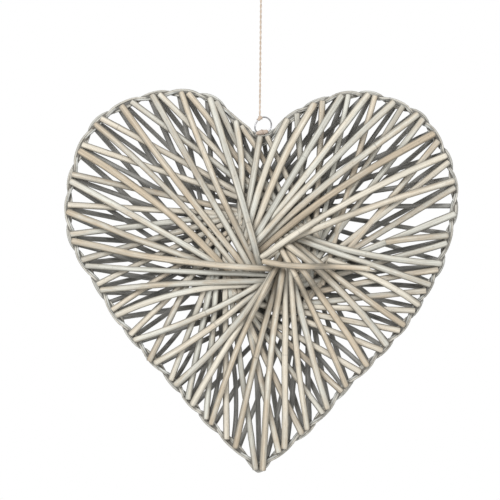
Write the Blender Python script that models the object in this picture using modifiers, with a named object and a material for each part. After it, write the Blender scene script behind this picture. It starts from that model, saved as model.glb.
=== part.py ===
"""Wicker heart wreath: willow rods laid in overlapping fans on a hoop, with a twined border.

The heart hangs by a twine from its notch. It lies in the XZ plane with its front towards -Y.
The origin is where the twine's loop bears on a hook. Lengths are in metres.
"""
import math
import random

import bmesh
import bpy
import numpy as np
from mathutils import Vector

MM = 0.001

# The heart's outline, measured between the points where the rods are bound to the hoop
HEART_WIDTH = 0.388
HEART_HEIGHT = 0.378
WEAVE_DROP = 0.282
WEAVE_SHIFT = 0.007

# Rods
ROD_DIAMETER = 0.0060
ROD_VARIATION = 0.09
UNDER_ROD_DIAMETER = 0.0058
BACK_ROD_DIAMETER = 0.0050
LAST_ROD_DIAMETER = 0.0062
ROD_GAP = 0.0004
TUCK = 0.003
EYE_RADIUS = 0.050
BACK_RAMP = 0.022
LAYER_UNEVENNESS = 0.0002
EYE_UNEVENNESS = 0.0009
BACK_FAMILIES = 6
END_OVERHANG = 0.0005

# Hoop and the two strands that are twined round it
HOOP_DIAMETER = 0.0024
STRAND_DIAMETER = 0.0029
STRAND_SWING = 0.0030
STRAND_SWAP = 0.27
NOTCH_STRAIGHT = 0.38
ROD_LIFT = 0.0009
HOOP_LEGS_PER_BAY = 3

# Hanging ring, its binding and the twine
RING_RADIUS = 0.0078
RING_WIRE = 0.0014
RING_TURN = math.radians(26)
BINDING_LENGTH = 0.0120
BINDING_DIAMETER = 0.0056
BINDING_END_DIAMETER = 0.0042
TWINE_DIAMETER = 0.002
TWINE_SHIFT = 0.0039
LOOP_LENGTH = 0.016
LOOP_WIDTH = 0.008
CLEARANCE = 0.0003

# The plan is drawn at this size, in millimetres from the middle of the weave, and scaled to the heart
DRAWN_WIDTH = 388.0
DRAWN_HEIGHT = 378.0
NODES = 42
TIP = 17
NOTCH = 39
BACK_REACH = 18
BACK_SHIFT = 0.12
LOWEST_FAMILY = 5

# Every second binding point, counter-clockwise as seen from the front: right and up
OUTLINE = [
    (-112, 167), (-170, 140), (-196, 84), (-197, 24), (-172, -26), (-135, -75), (-94.5, -120),
    (-59.4, -159), (-9, -207), (34, -167), (75, -126), (116, -85.5), (148, -45.5), (166, -3.6),
    (186, 50), (179, 103), (149, 141), (103.4, 166.6), (49.3, 159), (-4.5, 125.5), (-55, 162.5),
]

# Fans of front rods, from the bottom layer to the top one. Each rod, named by its binding point,
# dives under the next fan at a point right and up of the middle, with a sideways bow.
FANS = [
    {32: (-9, 10, -7.5), 33: (-9.6, 17, -4.3), 34: (-11, 21, -2.4), 35: (-12, 22, 0), 36: (-8.5, 32, 0),
     37: (-14, 30, -4.2), 38: (-18, 41, -3.1), 39: (-21, 49, 0), 40: (-27, 65, 3)},
    {41: (-9, -1, 1.8), 0: (-14.5, 0, -3.5), 1: (-21, 0.3, 0), 2: (-28, 1, -1.5), 3: (-37, 1, 5),
     4: (-50, 2, 6.5), 5: (-60, 3.4, 1.1), 6: (-80, 5, -1)},
    {7: (2, -6.5, -4.8), 8: (-2, -13, 0), 9: (-6, -19, 2.3), 10: (-14.5, -23, 8), 11: (-14.5, -26, -3.8),
     12: (-10, -28, -3.2)},
    {13: (1, -16, -5.2), 14: (-6, -34, 2.5)},
    {15: (9, -3, 4.6), 16: (14, -3, 2.3), 17: (14, -12, 3.2), 18: (18, -2, 0), 19: (22, -4, 1.3),
     20: (20, 2, 0.5)},
    {21: (13.5, 12, -2.3), 22: (19, 11.5, -1.8), 23: (20.5, 16, -5.2), 24: (25, 21, 2.2), 26: (31, 22, 0),
     27: (38, 25, 5.3), 28: (50, 28, -2), 29: (45, 30, -2), 30: (31, 26, -2.6)},
    {31: (-6.5, 4.5, -6.7)},
    {25: (59.5, 2.5, -4.3)},
]
CUT_SHORT = (25, 31)
LAST_ROD = [(-5.5, 1), (13, -2.5), (32, -4), (67, -4.5), (101, -6.5)]
ROD_STATIONS = (0, 0.17, 0.6, 0.84, 1.0)

# How far the under rods' lines miss the middle, by binding point
MISSES = {0: 45, 6: 42, 11: 44, 13: 48, 19: 48, 22: 47, 24: 39, 27: 35, 29: 30, 31: 32, 33: 37, 35: 44,
          38: 45, 42: 45}
NO_UNDER_ROD = (29,)

# Settling of the front rods: stiffness against bending, against contact and at the hoop, and the pull down
BEND_STIFFNESS = 60.0
CONTACT_STIFFNESSES = (20.0, 60.0, 200.0, 600.0)
HOOP_STIFFNESS = 4000.0
PULL = 1.0
SETTLE_ROUNDS = 40
SAMPLE_STEP = 3.0 * MM


def unit(vector):
    return vector / np.linalg.norm(vector)


def turned(vector, angle):
    c = math.cos(angle)
    s = math.sin(angle)
    return np.array((c * vector[0] - s * vector[1], s * vector[0] + c * vector[1]))


def plan_scale():
    return np.array((HEART_WIDTH / DRAWN_WIDTH, HEART_HEIGHT / DRAWN_HEIGHT))


def on_outline(points, corners, t):
    """A point of the closed smooth curve through the points, with corners at the tip and the notch."""
    count = len(points)
    k = int(math.floor(t)) % count
    u = t - math.floor(t)
    a = points[k]
    b = points[(k + 1) % count]
    leave = b - a if k in corners else (b - points[k - 1]) / 2
    arrive = b - a if (k + 1) % count in corners else (points[(k + 2) % count] - a) / 2
    return ((2 * u**3 - 3 * u**2 + 1) * a + (u**3 - 2 * u**2 + u) * leave
            + (3 * u**2 - 2 * u**3) * b + (u**3 - u**2) * arrive)


def rim_point(t):
    """The hoop's place in plan at binding point t, which need not be whole."""
    outline = np.array(OUTLINE, dtype=float) * plan_scale()
    corners = {(TIP - 1) // 2, (NOTCH - 1) // 2}
    return on_outline(outline, corners, (t - 1) / 2)


def rim_direction(t, step=1.0):
    return unit(rim_point(t + step) - rim_point(t - step))


def in_space(plan, depth):
    """Plan coordinates from the middle of the weave, and a depth behind the hoop, as a place."""
    return Vector((WEAVE_SHIFT + plan[0], depth, -WEAVE_DROP + plan[1]))


def rod_end(node, side, diameter):
    """Where a rod is bound at a node: side is +1 on the counter-clockwise side, -1 on the other."""
    place = rim_point(node) + rim_direction(node) * side * (diameter + ROD_GAP) / 2
    return place + unit(rim_point(node)) * END_OVERHANG


def front_plan(node, dive_x, dive_y, bow):
    """A front rod from the hoop to just past the point where it dives under the next fan."""
    start = rod_end(node, 1, ROD_DIAMETER * (1 + ROD_VARIATION))
    dive = np.array((dive_x, dive_y)) * plan_scale()
    run = dive - start
    aside = turned(unit(run), math.pi / 2) * bow * plan_scale()
    points = [start + run * u + aside * 4 * u * (1 - u) for u in ROD_STATIONS]
    if node not in CUT_SHORT:
        heading = unit(run - 4 * aside)
        points.append(dive + heading * TUCK)
    return np.array(points)


def eye_arrival(node):
    """Where an under rod reaches the eye, and the direction in which it runs out to the hoop."""
    end = rod_end(node, -1, UNDER_ROD_DIAMETER * (1 + ROD_VARIATION))
    distance = np.linalg.norm(end)
    miss = np.interp(node, list(MISSES), list(MISSES.values())) / 50 * EYE_RADIUS
    outward = turned(unit(end), math.asin(miss / distance))
    along = distance * math.cos(math.asin(miss / distance)) - math.sqrt(EYE_RADIUS**2 - miss**2)
    return end, end - outward * along


def under_plan(node, before, unevenness):
    """An under rod from the hoop to the eye, then along the eye to where the rod before it arrives."""
    radius = EYE_RADIUS + unevenness
    end, arrival = eye_arrival(node)
    following = eye_arrival(before)[1]
    first = math.atan2(arrival[1], arrival[0])
    turn = (math.atan2(following[1], following[0]) - first + math.pi) % (2 * math.pi) - math.pi
    turn += math.copysign(0.3 * UNDER_ROD_DIAMETER / EYE_RADIUS, turn)
    last = first + turn
    return np.array([end, arrival, radius * np.array((math.cos(last), math.sin(last)))])


def lengths_along(points):
    steps = np.linalg.norm(np.diff(points, axis=0), axis=1)
    return np.concatenate([[0], np.cumsum(steps)])


def sampled(points):
    """Evenly spaced samples: the leg each is on, its share of that leg and its place."""
    lengths = lengths_along(points)
    count = max(2, int(lengths[-1] / SAMPLE_STEP) + 1)
    at = np.linspace(0, lengths[-1], count)
    leg = np.clip(np.searchsorted(lengths, at, side="right") - 1, 0, len(points) - 2)
    share = (at - lengths[leg]) / (lengths[leg + 1] - lengths[leg])
    place = points[leg] * (1 - share[:, None]) + points[leg + 1] * share[:, None]
    return leg, share, place


def contacts(plans, radii, ranks):
    """Samples of two rods that lie across each other: upper rod, its sample, lower rod, its sample, gap."""
    samples = [sampled(points) for points in plans]
    found = []
    for a in range(len(plans)):
        for b in range(len(plans)):
            if ranks[a] <= ranks[b]:
                continue
            reach = radii[a] + radii[b] + ROD_GAP
            apart = np.linalg.norm(samples[a][2][:, None] - samples[b][2][None], axis=2)
            nearest = (apart == apart.min(1, keepdims=True)) | (apart == apart.min(0, keepdims=True))
            for i, j in zip(*np.where(nearest & (apart < reach))):
                found.append((a, i, b, j, math.sqrt(reach**2 - apart[i, j] ** 2)))
    return samples, found


def settled_heights(plans, radii, ranks, floors, bound):
    """Heights of the rods' points above the middle plane, with each rod resting on those below it.

    The rods bend as little as they can. The first point of each bound rod stays at its floor.
    """
    samples, found = contacts(plans, radii, ranks)
    first = np.cumsum([0] + [len(points) for points in plans])
    unknowns = first[-1]
    above = np.zeros((len(found), unknowns))
    needed = np.zeros(len(found))
    for row, (a, i, b, j, gap) in enumerate(found):
        for rod, sample, sign in ((a, i, 1), (b, j, -1)):
            leg = samples[rod][0][sample]
            share = samples[rod][1][sample]
            above[row, first[rod] + leg] += sign * (1 - share)
            above[row, first[rod] + leg + 1] += sign * share
        needed[row] = gap / MM
    stiffness = np.zeros((unknowns, unknowns))
    hold = np.full(unknowns, 0.001)
    for rod, points in enumerate(plans):
        lengths = lengths_along(points) / MM
        if bound[rod]:
            hold[first[rod]] = HOOP_STIFFNESS
        for i in range(1, len(points) - 1):
            before = lengths[i] - lengths[i - 1]
            after = lengths[i + 1] - lengths[i]
            bend = np.array((2 / (before * (before + after)), -2 / (before * after),
                             2 / (after * (before + after))))
            at = first[rod] + np.array((i - 1, i, i + 1))
            stiffness[np.ix_(at, at)] += BEND_STIFFNESS * np.outer(bend, bend) * (before + after) / 2
    floor = np.concatenate(floors) / MM
    heights = floor.copy()
    for contact in CONTACT_STIFFNESSES:
        for _ in range(SETTLE_ROUNDS):
            short = needed - above @ heights > 0
            touching = above[short]
            pressed = (heights < floor) * contact * 10 + hold
            matrix = stiffness + contact * touching.T @ touching + np.diag(pressed)
            target = contact * touching.T @ needed[short] + pressed * floor - PULL
            moved = np.linalg.solve(matrix, target) - heights
            heights = heights + 0.5 * moved
            if np.abs(moved).max() < 0.01:
                break
    heights = np.maximum(heights, floor) * MM
    return [heights[first[rod]:first[rod + 1]] for rod in range(len(plans))]


def principled(name, colour, roughness, metallic=0.0):
    material = bpy.data.materials.new(name)
    material.use_nodes = True
    shader = material.node_tree.nodes["Principled BSDF"]
    shader.inputs["Base Color"].default_value = (*colour, 1)
    shader.inputs["Roughness"].default_value = roughness
    shader.inputs["Metallic"].default_value = metallic
    return material


def tube(name, points, diameter, material, sides=6, closed=False):
    """A round tube along the points, as a curve object with filled caps."""
    curve = bpy.data.curves.new(name, "CURVE")
    curve.dimensions = "3D"
    curve.bevel_depth = diameter / 2
    curve.bevel_resolution = (sides - 4) // 2
    curve.use_fill_caps = not closed
    spline = curve.splines.new("POLY")
    spline.points.add(len(points) - 1)
    for slot, place in zip(spline.points, points):
        slot.co = (*place, 1)
    spline.use_cyclic_u = closed
    curve.materials.append(material)
    tube_object = bpy.data.objects.new(name, curve)
    collection.objects.link(tube_object)
    return tube_object


def as_mesh_object(curve_object):
    """The curve's tube as a closed mesh object, in place of the curve."""
    bpy.context.view_layer.update()
    evaluated = curve_object.evaluated_get(bpy.context.evaluated_depsgraph_get())
    mesh = bpy.data.meshes.new_from_object(evaluated)
    shape = bmesh.new()
    shape.from_mesh(mesh)
    bmesh.ops.remove_doubles(shape, verts=shape.verts, dist=0.00001)
    bmesh.ops.recalc_face_normals(shape, faces=shape.faces)
    shape.to_mesh(mesh)
    shape.free()
    name = curve_object.name
    bpy.data.objects.remove(curve_object)
    mesh_object = bpy.data.objects.new(name, mesh)
    collection.objects.link(mesh_object)
    return mesh_object


def fused(name, pieces):
    """One body of several tubes that touch, each joined to the rest by a Boolean union."""
    whole = pieces[0]
    for piece in pieces[1:]:
        union = whole.modifiers.new("join", "BOOLEAN")
        union.operation = "UNION"
        union.solver = "EXACT"
        union.object = piece
        bpy.context.view_layer.update()
        evaluated = whole.evaluated_get(bpy.context.evaluated_depsgraph_get())
        joined = bpy.data.meshes.new_from_object(evaluated)
        whole.modifiers.clear()
        whole.data = joined
        bpy.data.objects.remove(piece)
    whole.name = name
    return whole


def make_front_rods(material):
    """The 42 front rods and the last rod, each resting on the fans below it."""
    seeded = random.Random(4)
    names = []
    plans = []
    diameters = []
    ranks = []
    for layer, fan in enumerate(FANS):
        for place, node in enumerate(fan):
            names.append(f"front_rod_{node + 1:02d}")
            plans.append(front_plan(node, *fan[node]))
            diameters.append(ROD_DIAMETER * (1 + ROD_VARIATION * seeded.uniform(-1, 1)))
            ranks.append(layer + 0.5 * (place % 2 == 0) + 0.01 * place)
    names.append("last_rod")
    plans.append(np.array(LAST_ROD, dtype=float) * plan_scale())
    diameters.append(LAST_ROD_DIAMETER)
    ranks.append(len(FANS) + 1)
    bottom = HOOP_DIAMETER / 2 + ROD_LIFT
    under = bottom + UNDER_ROD_DIAMETER * (1 + ROD_VARIATION) + 2 * LAYER_UNEVENNESS + ROD_GAP
    floors = []
    for points, diameter in zip(plans, diameters):
        floor = np.full(len(points), under + diameter / 2)
        floor[0] = bottom + diameter / 2
        floors.append(floor)
    floors[-1][0] = under + LAST_ROD_DIAMETER / 2
    bound = [True] * (len(plans) - 1) + [False]
    radii = [diameter / 2 for diameter in diameters]
    heights = settled_heights(plans, radii, ranks, floors, bound)
    for name, points, diameter, height in zip(names, plans, diameters, heights):
        places = [in_space(plan, -rise) for plan, rise in zip(points, height)]
        tube(name, places, diameter, material)


def make_under_rods(material):
    """The front layer's hidden rods, flat on the hoop, their inner ends laid round the eye."""
    height = HOOP_DIAMETER / 2 + ROD_LIFT + UNDER_ROD_DIAMETER * (1 + ROD_VARIATION) / 2
    nodes = [node for node in range(NODES) if node not in NO_UNDER_ROD]
    pieces = []
    for place, node in enumerate(nodes):
        uneven = place % 3 - 1
        plan = under_plan(node, nodes[place - 1], EYE_UNEVENNESS * uneven)
        rises = (height, height, height + 2 * LAYER_UNEVENNESS * uneven)
        places = [in_space(point, -rise) for point, rise in zip(plan, rises)]
        pieces.append(as_mesh_object(tube(f"under_{node}", places, UNDER_ROD_DIAMETER, material, sides=4)))
    fused("front_under_rods", pieces)


def make_back_rods(material):
    """Straight rods across the back, in flat layers; the rods of a layer are fused where they cross."""
    bottom = HOOP_DIAMETER / 2 + ROD_LIFT + BACK_ROD_DIAMETER / 2
    for family in range(BACK_FAMILIES):
        lowest_node = (family + LOWEST_FAMILY) % BACK_FAMILIES
        level = bottom + LAYER_UNEVENNESS + family * (BACK_ROD_DIAMETER + ROD_GAP + 2 * LAYER_UNEVENNESS)
        pieces = []
        for place, node in enumerate(range(lowest_node, NODES, BACK_FAMILIES)):
            lift = LAYER_UNEVENNESS * (place % 3 - 1)
            start = rod_end(node + BACK_SHIFT, 1, BACK_ROD_DIAMETER)
            finish = rod_end((node + BACK_REACH) % NODES + BACK_SHIFT, -1, BACK_ROD_DIAMETER)
            ramp = unit(finish - start) * BACK_RAMP
            places = [in_space(start, bottom), in_space(start + ramp, level + lift),
                      in_space(finish - ramp, level - lift), in_space(finish, bottom)]
            pieces.append(as_mesh_object(tube(f"back_{node}", places, BACK_ROD_DIAMETER, material, sides=4)))
        fused(f"back_rods_{family + 1}", pieces)


def straight_share(node):
    """The share of a bay for which the strands run straight past a binding point."""
    return NOTCH_STRAIGHT if node == NOTCH else STRAND_SWAP


def strand_place(sign, t, side, around):
    """A strand's place at t: side is +1 outside the hoop, and around turns it towards the other side."""
    angle = math.radians(around)
    ahead = rim_direction(t, 0.25)
    outward = np.array((ahead[1], -ahead[0]))
    plan = rim_point(t) + outward * side * STRAND_SWING * math.cos(angle)
    return in_space(plan, -sign * STRAND_SWING * math.sin(angle))


def strand_points(sign):
    """A twined strand: straight past each binding point, then round the hoop to its other side.

    The lower strand has a further point at the tip and at the notch, where the hoop has a corner.
    """
    places = []
    for bay in range(NODES):
        side = sign * (-1) ** bay
        if (bay, side) in ((TIP, 1), (NOTCH, -1)):
            places.append(strand_place(sign, bay, side, 0))
        for t, around in ((straight_share(bay), 5), (0.5, 90), (1 - straight_share(bay + 1), 175)):
            places.append(strand_place(sign, bay + t, side, around))
    return places


def make_border(hoop_material, strand_material):
    """The hoop, and two strands that swap sides round it between each two binding points."""
    count = NODES * HOOP_LEGS_PER_BAY
    hoop = [in_space(rim_point(i / HOOP_LEGS_PER_BAY), 0) for i in range(count)]
    tube("hoop", hoop, HOOP_DIAMETER, hoop_material, sides=4, closed=True)
    for strand, sign in ((1, 1), (2, -1)):
        places = strand_points(sign)
        tube(f"border_strand_{strand}", places, STRAND_DIAMETER, strand_material, sides=4, closed=True)


def notch_strand():
    """The two points between which the upper strand runs straight over the notch."""
    sign = (-1) ** NOTCH
    before = strand_place(sign, NOTCH - NOTCH_STRAIGHT, -1, 175)
    after = strand_place(sign, NOTCH + NOTCH_STRAIGHT, 1, 5)
    return before, after


def turned_sleeve(name, middle, axis, material):
    """A sleeve, thickest at its middle, turned round the strand that runs through it."""
    half = BINDING_LENGTH / 2
    bore = STRAND_DIAMETER / 2 + CLEARANCE
    swell = (BINDING_DIAMETER - BINDING_END_DIAMETER) / 2
    outline = [(-half, bore), (half, bore)]
    for i in range(5):
        along = half - BINDING_LENGTH * i / 4
        outline.append((along, BINDING_END_DIAMETER / 2 + swell * (1 - (along / half) ** 2)))
    mesh = bpy.data.meshes.new(name)
    edges = [(i, (i + 1) % len(outline)) for i in range(len(outline))]
    mesh.from_pydata([(along, 0, radius) for along, radius in outline], edges, [])
    mesh.materials.append(material)
    sleeve = bpy.data.objects.new(name, mesh)
    collection.objects.link(sleeve)
    screw = sleeve.modifiers.new("turn", "SCREW")
    screw.axis = "X"
    screw.steps = 12
    screw.render_steps = 12
    screw.use_merge_vertices = True
    screw.merge_threshold = 0.0001
    screw.use_normal_calculate = True
    sleeve.location = middle
    sleeve.rotation_mode = "QUATERNION"
    sleeve.rotation_quaternion = axis.to_track_quat("X", "Z")
    return sleeve


def make_hanger(ring_material, binding_material, twine_material):
    """The ring round the wrapped strand at the notch, the taut twine and the loop at its top."""
    left, right = sorted(notch_strand(), key=lambda place: place.x)
    middle = (left + right) / 2
    turned_sleeve("notch_binding", middle, (right - left).normalized(), binding_material)
    hoop_top = in_space(rim_point(NOTCH), 0).z + HOOP_DIAMETER / 2
    sleeve_foot = middle.z - BINDING_DIAMETER / 2
    centre = Vector((middle.x, 0, (hoop_top + sleeve_foot) / 2 + RING_RADIUS))
    across = Vector((math.cos(RING_TURN), math.sin(RING_TURN), 0))
    ring = []
    for i in range(20):
        angle = 2 * math.pi * i / 20
        ring.append(centre + RING_RADIUS * (across * math.cos(angle) + Vector((0, 0, math.sin(angle)))))
    tube("hanging_ring", ring, RING_WIRE, ring_material, closed=True)
    loop_top = TWINE_DIAMETER / 2
    loop_bottom = loop_top - LOOP_LENGTH
    loop = []
    for i in range(16):
        angle = 2 * math.pi * i / 16
        loop.append(Vector((LOOP_WIDTH / 2 * math.sin(angle), 0,
                            (loop_top + loop_bottom) / 2 + LOOP_LENGTH / 2 * math.cos(angle))))
    tube("twine_loop", loop, TWINE_DIAMETER, twine_material, closed=True)
    nearest = math.sqrt(RING_RADIUS**2 - (TWINE_SHIFT - TWINE_DIAMETER / 2) ** 2)
    foot = centre - across * TWINE_SHIFT + Vector((0, 0, nearest + RING_WIRE / 2 + CLEARANCE))
    head = Vector((0, 0, loop_bottom - TWINE_DIAMETER / 2 - CLEARANCE))
    legs = 24
    twine = [foot.lerp(head, i / legs) for i in range(legs + 1)]
    tube("twine", twine, TWINE_DIAMETER, twine_material, sides=8)


for old in list(bpy.data.objects):
    bpy.data.objects.remove(old)
collection = bpy.data.collections.new("Wicker heart wreath")
bpy.context.scene.collection.children.link(collection)

front_willow = principled("Front willow", (0.55, 0.49, 0.38), 0.75)
under_willow = principled("Under willow", (0.30, 0.27, 0.22), 0.8)
back_willow = principled("Back willow", (0.22, 0.20, 0.17), 0.8)
split_willow = principled("Split willow", (0.42, 0.39, 0.34), 0.75)
hoop_wire = principled("Hoop wire", (0.20, 0.18, 0.15), 0.6)
steel = principled("Ring steel", (0.55, 0.55, 0.56), 0.3, 1.0)
bark = principled("Bark wrap", (0.42, 0.28, 0.20), 0.75)
jute = principled("Jute twine", (0.45, 0.32, 0.19), 0.95)

make_front_rods(front_willow)
make_under_rods(under_willow)
make_back_rods(back_willow)
make_border(hoop_wire, split_willow)
make_hanger(steel, bark, jute)
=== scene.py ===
"""Wicker heart wreath, finished: washed willow rods, pale on their fronts partly as painted light, with grain
and painted shade on their flanks, twined border, steel ring and jute twine.
"""
import math
import random

import bpy
import numpy as np
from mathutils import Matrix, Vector


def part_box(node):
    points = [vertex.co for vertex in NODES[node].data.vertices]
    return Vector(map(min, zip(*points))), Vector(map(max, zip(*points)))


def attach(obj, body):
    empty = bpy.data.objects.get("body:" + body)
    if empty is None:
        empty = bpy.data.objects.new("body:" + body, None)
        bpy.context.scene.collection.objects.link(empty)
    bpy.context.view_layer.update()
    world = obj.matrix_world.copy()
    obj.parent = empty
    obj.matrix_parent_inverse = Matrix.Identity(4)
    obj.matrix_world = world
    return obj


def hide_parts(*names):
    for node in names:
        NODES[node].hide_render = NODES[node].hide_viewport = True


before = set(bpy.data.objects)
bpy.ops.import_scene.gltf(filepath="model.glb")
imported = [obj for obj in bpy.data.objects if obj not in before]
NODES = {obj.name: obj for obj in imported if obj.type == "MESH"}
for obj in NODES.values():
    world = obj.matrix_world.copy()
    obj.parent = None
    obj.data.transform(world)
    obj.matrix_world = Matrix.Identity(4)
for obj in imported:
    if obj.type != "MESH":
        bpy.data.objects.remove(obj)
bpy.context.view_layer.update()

FRONT = (0.0, -1.0, 0.0)
BACK = (0.0, 1.0, 0.0)
FULL_TURN = 2 * math.pi

# Sizes shared with the solids, in metres. Binding points are counted counter-clockwise along the border.
BINDING_POINTS = 42
HOOP_LEGS_PER_BAY = 3
WEAVE_DROP = 0.282
WEAVE_SHIFT = 0.007
ROD_GAP = 0.0004
END_OVERHANG = 0.0005
UNDER_ROD_DIAMETER = 0.0058
NO_UNDER_ROD = 29
BACK_ROD_DIAMETER = 0.0050
BACK_FAMILIES = 6
LOWEST_FAMILY = 5
RING_WIRE = 0.0014
TWINE_DIAMETER = 0.002

# How the solids' meshes are read: corners this near are one corner, and an edge shorter than this lies
# round the cross-section of a rod or of a strand
SAME_PLACE = 2e-6
ROD_SECTION = 0.0045
STRAND_SECTION = 0.0032

# A hoop leg this many times as long as the usual one lacks the place at its middle
HOOP_GAP = 1.6

# Seeds of the random draws, and of the grain pattern of each kind of piece, with how far apart two seeds are
DRAWS = {"front": 11, "last": 5, "under": 23, "back": 31, "border": 47}
PATTERNS = {"front": 1.37, "last": 71.3, "under": 100.7, "back": 200.3, "core": 300.1, "strips": 310.0,
            "wrap": 340.0, "loose strip": 343.0, "ring": 350.0, "plies": 400.0}
PATTERN_STEP = 1.7

# Steps along the pieces from one station to the next
FRONT_STEP = 0.0026
UNDER_STEP = 0.0032
BACK_STEP = 0.0045
CORE_STEP = 0.004
STRIP_STEP = 0.0022
SPLINTER_STEP = 0.0012
TWINE_STEP = 0.0008

# Ridges along the grain: their height, and how many there are to a metre across and along the rod
RIDGE = 0.00012
ROUGH_RIDGE = 0.0003
TWINE_RIDGE = 0.0001
RIDGE_CELLS = (900.0, 900.0, 60.0)

# How far rods stray from their lines, and over what length
FRONT_SWAY = 0.0018
INNER_SWAY = 0.0014
SWAY_LENGTH = 0.06

# Least and most thickness of the rods, as shares of the solids'
FRONT_THICKNESS = (1.03, 1.14)
UNDER_THICKNESS = (1.02, 1.16)
UNDER_MEAN_THICKNESS = 1.09
BACK_THICKNESS = (0.98, 1.14)

# How much thinner each kind of rod is at its inner end, as a share
TAPERS = {"front": 0.03, "last": 0.02, "under": 0.05, "back": 0.06}

# Waves of thickness along a piece: how many, how each fades after the one before, their radians to a metre,
# where in a wave they start, and their height as a share of the thickness
WAVES = 3
WAVE_FADE = 0.6
WAVE_TURNS = (30, 60)
WAVE_STARTS = (0, 6.28)
ROD_UNEVENNESS = 0.035
CORE_UNEVENNESS = 0.06
STRIP_UNEVENNESS = 0.10

# Cut ends: their width as a share of the rod's, and the length of their bevel
CUT_WIDTH = 0.86
CUT_BEVEL = 0.0004

# Bud scars: their spacing, length and swelling, and how near they come to a rod's two ends
BUD_SPACING = (0.045, 0.110)
BUD_LENGTH = 0.0022
BUD_SWELL = 0.06
BUD_START = 0.008
BUD_END = 0.006

# How far each under rod's line passes from the middle, by binding point, in millimetres
UNDER_MISSES = (45, 44, 49, 48, 52, 43, 46, 52, 54, 53, 47, 44, 63, 50, 52, 50, 43, 41, 34, 43, 45,
                46, 51, 42, 43, 43, 45, 38, 32, 33, 33, 33, 54, 37, 34, 58, 45, 46, 40, 55, 44, 38)

# How far back some under rods start, as a share of the way to the binding point before
UNDER_SHIFTS = {2: 0.11, 3: 0.05, 16: 0.15, 22: 0.07, 32: 0.05, 34: 0.10, 37: 0.06, 38: 0.13}

# How far an under rod leans to the front by its inner end, and the shares of its way that are its stations
UNDER_LEAN = 0.0024
UNDER_STATIONS = (0, 0.35, 0.7, 0.9, 1.04)

# The under rod whose end stands out past the border
LONG_END = 12
LONG_END_REACH = 0.0035

# The same misses for the back rods: of the first stretch by the binding point where it starts, and of the
# last stretch, which passes the middle on the same side, by the binding point where it ends
BACK_MISSES = (56, 42, 43, 44, 45, 45, 46, 46, 46, 46, 48, 38, 40, 34, 50, 38, 42, 32, 38, 42, 36,
               40, 38, 37, 36, 28, 35, 40, 36, 40, 44, 48, 54, 38, 46, 50, 44, 46, 48, 56, 62, 64)
BACK_END_MISSES = {0: 15, 5: 13, 7: 13, 8: 16, 26: 11, 27: 18, 28: 18, 29: 26, 31: 15, 42: 15}

# A back rod starts a little past its binding point and ends this many further on, less what some fall short.
# From each end it takes the length of its ramp to come to its layer's level.
BACK_SHIFT = 0.12
BACK_REACH = 17
BACK_SHORTER = {35: 0.4, **dict.fromkeys((*range(36, 42), *range(13)), 1)}
BACK_RAMP = 0.034

# The bend of a back rod: its reach to each side and its stations
BACK_BEND = 0.044
BEND_STATIONS = 16

# A back rod's last stretch is the one of these lengths that brings its first stretch nearest to its miss,
# and it has at least so many stations
LAST_STRETCHES = np.arange(0.055, 0.126, 0.005)
LEAST_STATIONS = 4

# Radii of front rods clearly thinner or thicker than the rest, by binding point
ROD_RADII = {1: 0.0034, 2: 0.0035, 4: 0.0037, 8: 0.0028, 23: 0.0037, 29: 0.0036, 31: 0.0035, 32: 0.0037,
             33: 0.0036, 34: 0.0035, 35: 0.0036, 36: 0.0035, 37: 0.0038, 38: 0.0036, 39: 0.0034,
             40: 0.0034, 41: 0.0036}

# Front rods whose bark shows tan rather than grey, by binding point, from 0 (grey) to 1 (tan)
TAN_RODS = {0: 0.5, 2: 0.55, 3: 0.5, 4: 0.75, 5: 0.2, 6: 0.5, 7: 0.45, 15: 0.6, 16: 0.6, 17: 0.5, 21: 0.55,
            22: 0.7, 24: 0.55, 28: 0.55, 31: 0.15, 32: 0.8, 37: 0.4, 39: 0.35}

# The most tan on the other front rods, and on the under rods and back rods
FRONT_TAN = 0.35
INNER_TAN = 0.5

# Hidden part of a front rod, past the place where it dives under the next fan: its length, the depth that
# it drops to, and the share of its way and of its drop that it has done at each station
HIDDEN_RUN = 0.042
HIDDEN_DEPTH = -0.0064
HIDDEN_FALLS = ((0.25, 0.62), (0.5, 0.9), (0.75, 1.0), (1.0, 1.0))

# Rods that drop faster there, and rods that turn aside to the left
STEEP_RODS = (20, 21, 22, 23)
STEEP_FALLS = ((0.13, 0.66), (0.26, 0.97), (0.6, 1.0), (1.0, 1.0))
HIDDEN_ASIDE = {13: 0.0085, 30: 0.0090}

# Front rods with no hidden part, because they end in the open
CUT_SHORT = (25, 31)

# Two front rods at the right that keep low: one ends on the other, which slips under the next ones.
# Each place is across, deep and up.
LOW_RODS = {28: ((0.1857, -0.0053, -0.2552), (0.1620, -0.0114, -0.2574), (0.1450, -0.0124, -0.2591),
                 (0.1243, -0.0121, -0.2622)),
            29: ((0.1938, -0.0053, -0.2337), (0.1426, -0.0054, -0.2547), (0.1240, -0.0053, -0.2624),
                 (0.1050, -0.0052, -0.2700), (0.0650, -0.0052, -0.2870))}

# The last rod's frayed end: splinters, how far inside the rod they start, how far past it they reach, how far
# they lie off its middle, deep and up, at the foot and as they spread to the tip, and their radii
SPLINTERS = 9
SPLINTER_FOOT = 0.004
SPLINTER_REACH = (0.0015, 0.0075)
SPLINTER_ASIDE = (0.0022, 0.0026)
SPLINTER_FOOT_ASIDE = 0.9
SPLINTER_SPREAD = (1.0, 1.7)
SPLINTER_BOWS = ((-0.0004, 0.0002), (-0.0004, 0.0004))
SPLINTER_RADII = (0.0006, 0.00012)
SPLINTER_PATTERNS = (80, 90)

# Border strands: two split strips side by side in each, which roll a little in two waves, drawn to the core
CORE_RADIUS = 0.0019
STRIP_RADIUS = 0.00118
STRIP_OFFSET = 0.00095
STRIP_ROLL = 0.55
STRIP_ROLL_WAVES = (17, 29)
STRIP_SECOND_ROLL = 0.6
STRIP_TONES = {1: (0.15, 0.95), 2: (0.55, 0.75)}
STRAND_PULL = 0.42

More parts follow.
